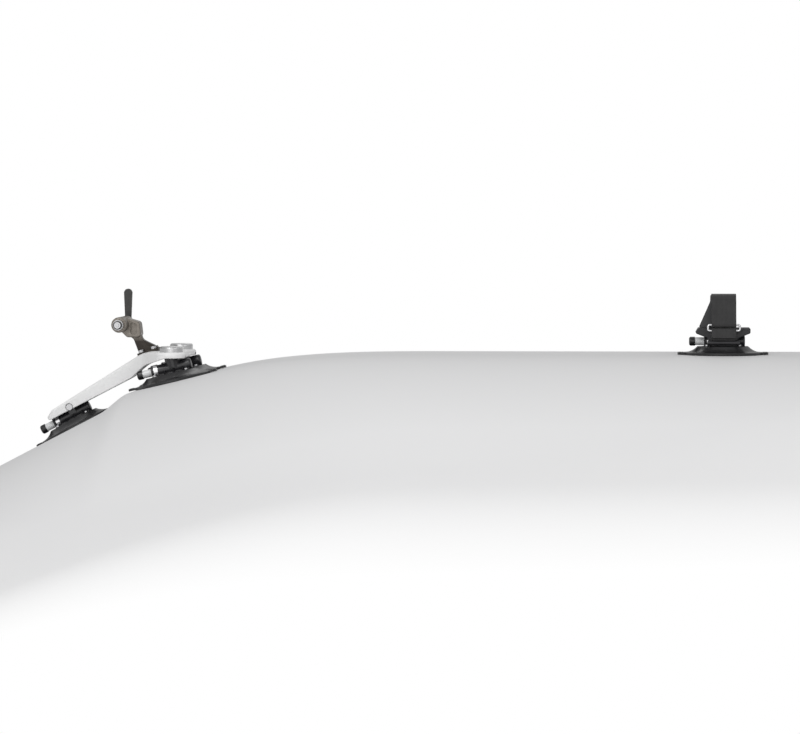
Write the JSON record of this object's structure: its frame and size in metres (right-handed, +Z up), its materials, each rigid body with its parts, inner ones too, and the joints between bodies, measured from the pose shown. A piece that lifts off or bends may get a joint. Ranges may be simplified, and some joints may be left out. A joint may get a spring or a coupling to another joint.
{
  "type": "roof mounted bike carrier",
  "caption": "Vacuum pad bicycle carrier for a car roof: white arched fork mount frame and a separate rear wheel cradle with strap.",
  "frame": {"origin": "centre of the sealing face under the wheel unit's vacuum pad", "axes": "+X towards the car's rear, +Y to the car's far side, +Z up"},
  "size_m": [1.1389, 0.26, 0.2464],
  "materials": {
    "pad_rubber": "satin",
    "hub_plastic": "satin",
    "plunger_plastic": "gloss",
    "button_plastic": "gloss",
    "seal_rubber": "matte",
    "spring_steel": "satin",
    "screw_steel": "satin",
    "liner_plastic": "satin",
    "frame_plastic": "satin",
    "cap_metal": "satin",
    "bracket_metal": "satin",
    "lever_metal": "satin",
    "cradle_plastic": "matte",
    "ring_steel": "polished",
    "strap_webbing": "matte",
    "guard_rubber": "matte"
  },
  "bodies": {
    "wheel_unit": {"wheel_pad": "pad_rubber", "wheel_hub": "hub_plastic", "wheel_band": "screw_steel", "wheel_gland": "hub_plastic", "wheel_spring": "spring_steel", "wheel_screws": "screw_steel", "cradle": "cradle_plastic", "cradle_bolts": "screw_steel", "tyre_liner": "seal_rubber", "strap_ring": "ring_steel", "short_strap": "strap_webbing", "long_strap": "strap_webbing", "rim_guard": "guard_rubber"},
    "wheel_pump": {"wheel_plunger": "plunger_plastic", "wheel_button": "button_plastic", "wheel_seal": "seal_rubber"},
    "frame_unit": {"frame": "frame_plastic", "nose_pin": "screw_steel", "ball_studs": "screw_steel", "boss_caps": "cap_metal", "fork_bracket": "bracket_metal", "bracket_bolts": "screw_steel", "skewer_cup": "lever_metal"},
    "front_mount": {"front_pad": "pad_rubber", "front_hub": "hub_plastic", "front_band": "screw_steel", "front_gland": "hub_plastic", "front_spring": "spring_steel", "front_screws": "screw_steel"},
    "front_pump": {"front_plunger": "plunger_plastic", "front_button": "button_plastic", "front_seal": "seal_rubber"},
    "skewer_rod": {"skewer": "screw_steel"},
    "cam_lever": {"lever": "lever_metal"},
    "adjusting_nut": {"skewer_nut": "lever_metal"},
    "left_joint_liner": {"left_liner": "liner_plastic"},
    "left_mount": {"left_pad": "pad_rubber", "left_hub": "hub_plastic", "left_band": "screw_steel", "left_gland": "hub_plastic", "left_spring": "spring_steel", "left_screws": "screw_steel", "left_ball_ring": "hub_plastic"},
    "left_pump": {"left_plunger": "plunger_plastic", "left_button": "button_plastic", "left_seal": "seal_rubber"},
    "right_joint_liner": {"right_liner": "liner_plastic"},
    "right_mount": {"right_pad": "pad_rubber", "right_hub": "hub_plastic", "right_band": "screw_steel", "right_gland": "hub_plastic", "right_spring": "spring_steel", "right_screws": "screw_steel", "right_ball_ring": "hub_plastic"},
    "right_pump": {"right_plunger": "plunger_plastic", "right_button": "button_plastic", "right_seal": "seal_rubber"}
  },
  "joints": [
    {"name": "wheel_pump_press", "type": "slide", "parent": "wheel_unit", "child": "wheel_pump", "axis": [1, 0, 0], "range_m": [0, 0.014], "stiffness_N_per_m": 300, "springref_m": -0.004, "deforming": ["wheel_spring"]},
    {"name": "unit_spacing", "type": "slide", "parent": "wheel_unit", "child": "frame_unit", "axis": [1, 0, 0], "range_m": [-0.12, 0.1]},
    {"name": "front_pad_pitch", "type": "hinge", "parent": "frame_unit", "child": "front_mount", "pos_m": [-1.01492, 0, -0.08296], "axis": [0, 1, 0], "range_deg": [-12, 3]},
    {"name": "front_pump_press", "type": "slide", "parent": "front_mount", "child": "front_pump", "axis": [0.887, 0, 0.4617], "range_m": [0, 0.014], "stiffness_N_per_m": 300, "springref_m": -0.004, "deforming": ["front_spring"]},
    {"name": "left_pad_pitch", "type": "hinge", "parent": "frame_unit", "child": "left_joint_liner", "pos_m": [-0.84904, -0.07, -0.00215], "axis": [0, 1, 0], "range_deg": [-6, 6]},
    {"name": "left_pad_roll", "type": "hinge", "parent": "left_joint_liner", "child": "left_mount", "pos_m": [-0.84904, -0.07, -0.00215], "axis": [0.9724, 0, 0.2334], "range_deg": [-6, 6]},
    {"name": "left_pump_press", "type": "slide", "parent": "left_mount", "child": "left_pump", "axis": [0.9724, 0, 0.2334], "range_m": [0, 0.014], "stiffness_N_per_m": 300, "springref_m": -0.004, "deforming": ["left_spring"]},
    {"name": "right_pad_pitch", "type": "hinge", "parent": "frame_unit", "child": "right_joint_liner", "pos_m": [-0.84904, 0.07, -0.00215], "axis": [0, 1, 0], "range_deg": [-6, 6]},
    {"name": "right_pad_roll", "type": "hinge", "parent": "right_joint_liner", "child": "right_mount", "pos_m": [-0.84904, 0.07, -0.00215], "axis": [0.9724, 0, 0.2334], "range_deg": [-6, 6]},
    {"name": "right_pump_press", "type": "slide", "parent": "right_mount", "child": "right_pump", "axis": [0.9724, 0, 0.2334], "range_m": [0, 0.014], "stiffness_N_per_m": 300, "springref_m": -0.004, "deforming": ["right_spring"]},
    {"name": "skewer_shift", "type": "slide", "parent": "frame_unit", "child": "skewer_rod", "axis": [0, 1, 0], "range_m": [-0.001, 0]},
    {"name": "lever_turn", "type": "hinge", "parent": "skewer_rod", "child": "cam_lever", "pos_m": [-0.93304, 0.07, 0.04585], "axis": [1, 0, 0], "range_deg": [-180, 0]},
    {"name": "nut_turn", "type": "hinge", "parent": "skewer_rod", "child": "adjusting_nut", "pos_m": [-0.93304, -0.0625, 0.04585], "axis": [0, 1, 0], "continuous": true}
  ],
  "couplings": [
    {"joint": "skewer_shift", "follows": "lever_turn", "m_per_rad": 0.00031831}
  ]
}
